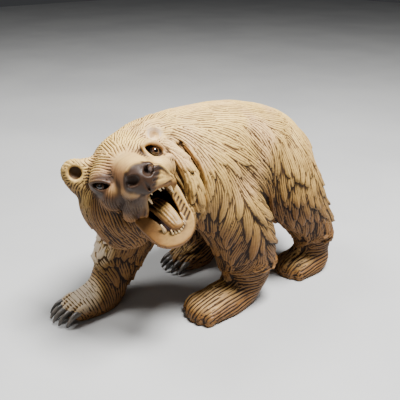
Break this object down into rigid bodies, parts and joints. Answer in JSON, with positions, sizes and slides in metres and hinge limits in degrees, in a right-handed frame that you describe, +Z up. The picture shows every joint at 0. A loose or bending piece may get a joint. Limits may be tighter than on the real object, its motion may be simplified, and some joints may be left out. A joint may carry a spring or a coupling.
{
  "type": "bear statue",
  "caption": "Carved wooden statue of a walking, roaring bear with its head turned to its left, cut in gouge-worked fur, with dark glass eyes. It stands on its soles.",
  "frame": {"origin": "on the ground at the middle of the bounding box", "axes": "+Z up; the bear walks towards -Y, and its left side is at +X"},
  "size_m": [0.2086, 0.4128, 0.2716],
  "materials": {
    "carved_wood": "stained and waxed carved wood, light on the ridges and dark in the gouge cuts",
    "eye_glass": "polished dark glass, opaque"
  },
  "bodies": {
    "root": {"bear": "carved_wood", "eye_left": "eye_glass", "eye_right": "eye_glass"}
  },
  "joints": []
}
